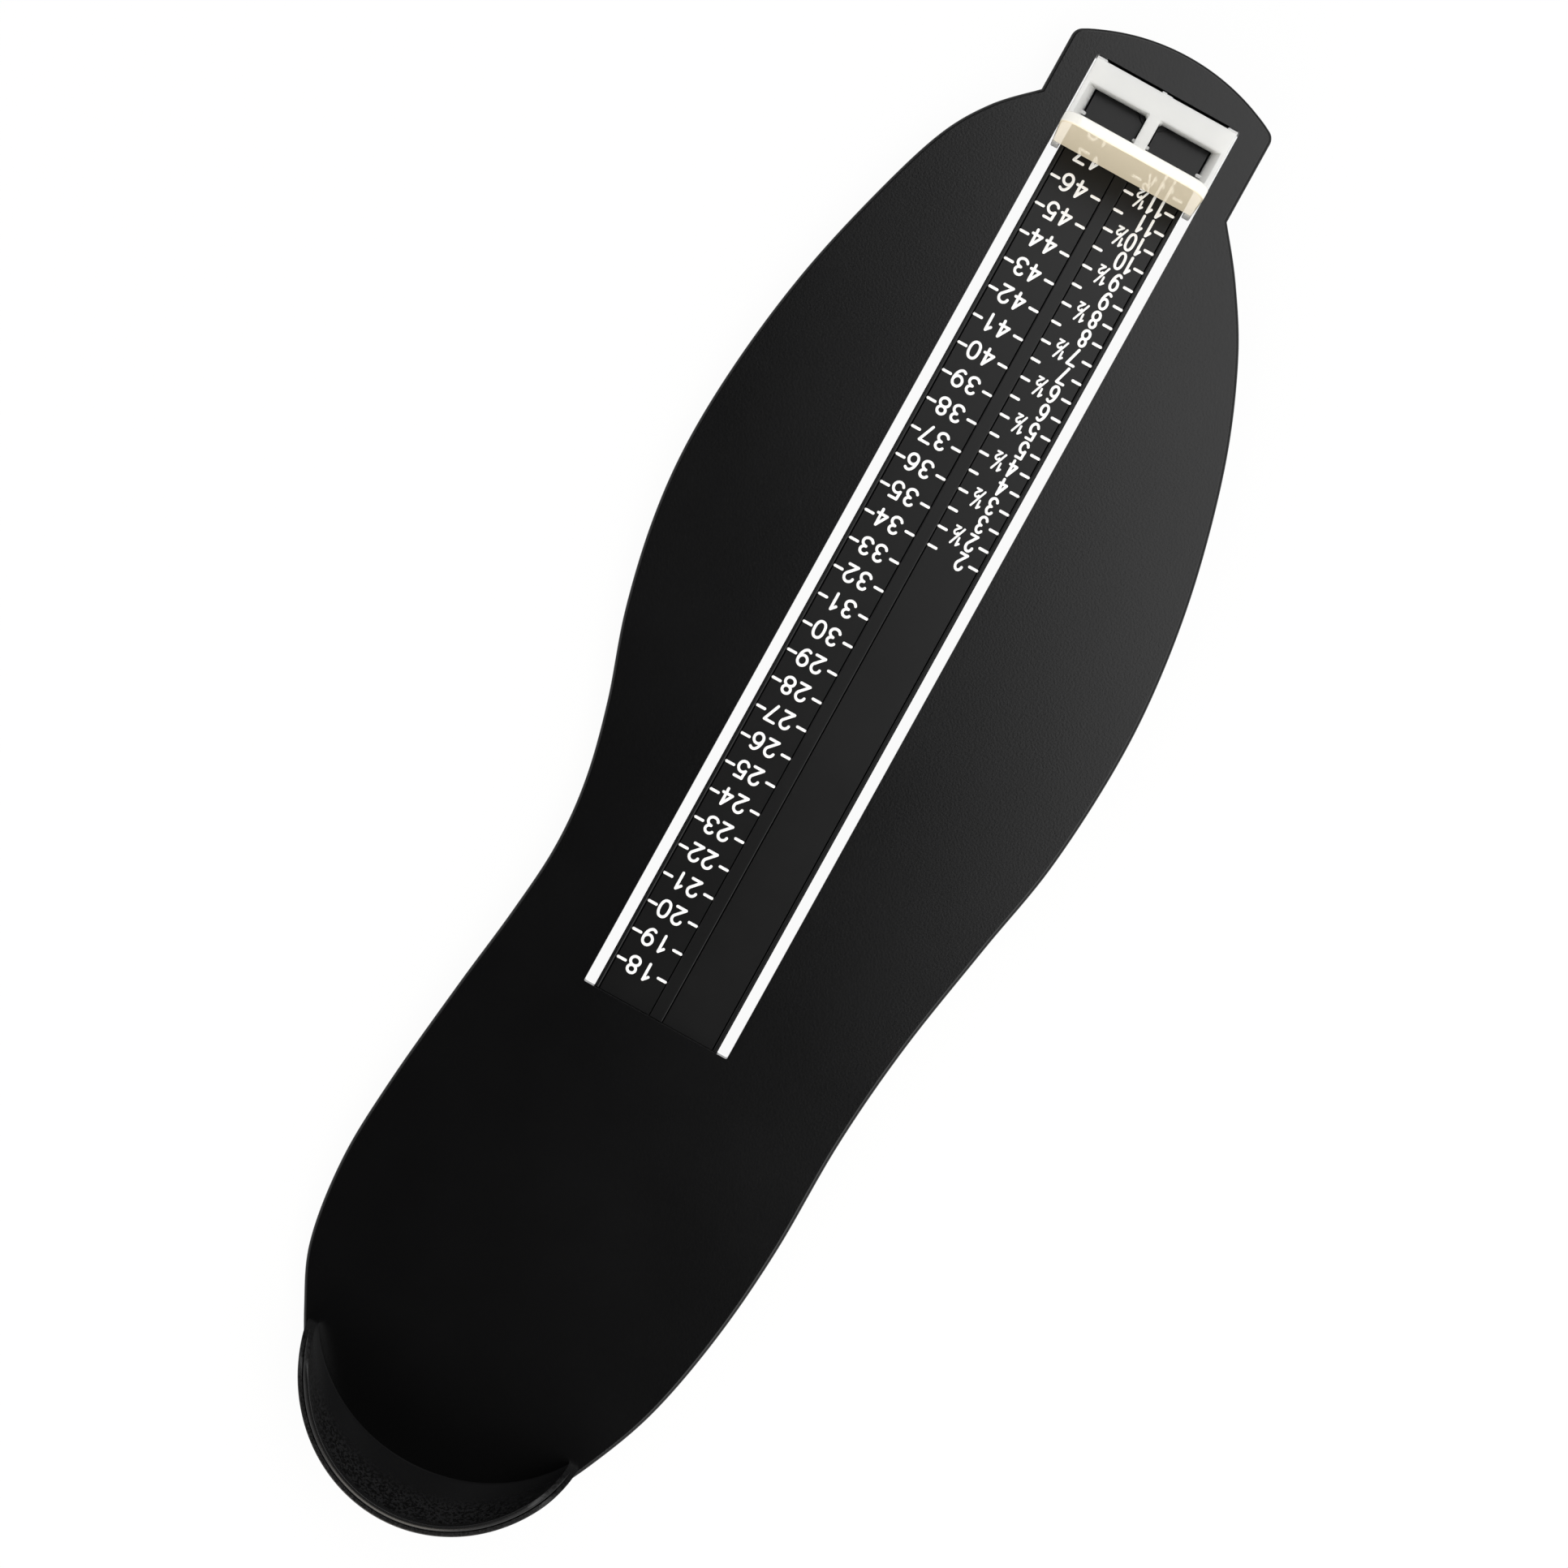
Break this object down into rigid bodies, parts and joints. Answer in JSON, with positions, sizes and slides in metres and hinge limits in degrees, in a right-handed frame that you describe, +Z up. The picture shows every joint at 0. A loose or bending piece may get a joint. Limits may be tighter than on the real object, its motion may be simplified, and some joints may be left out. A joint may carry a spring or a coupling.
{
  "type": "foot measuring device",
  "caption": "Sole-shaped plate with a raised heel cup, a length scale between two slots, and an upright toe stop that slides along the scale to read a shoe size.",
  "frame": {"origin": "on the table under the middle of the plate's length and width", "axes": "+Y along the foot from the heel to the toes, +X to the right seen from above with the toes up, +Z up"},
  "size_m": [0.1112, 0.3454, 0.0281],
  "materials": {
    "black_plate": "fine matte grain",
    "black_cup": "fine matte grain with a smoother foot",
    "black_strip": "satin, with printed white figures",
    "white_frame": "satin moulded white",
    "ivory_stop": "polished ivory white"
  },
  "bodies": {
    "base": {"sole_plate": "black_plate", "heel_cup": "black_cup", "scale_strip": "black_strip"},
    "slider": {"slider_frame": "white_frame", "toe_stop": "ivory_stop"}
  },
  "joints": [
    {"name": "toe_stop_slide", "type": "slide", "parent": "base", "child": "slider", "axis": [0, 1, 0], "range_m": [-0.2002, 0]}
  ]
}
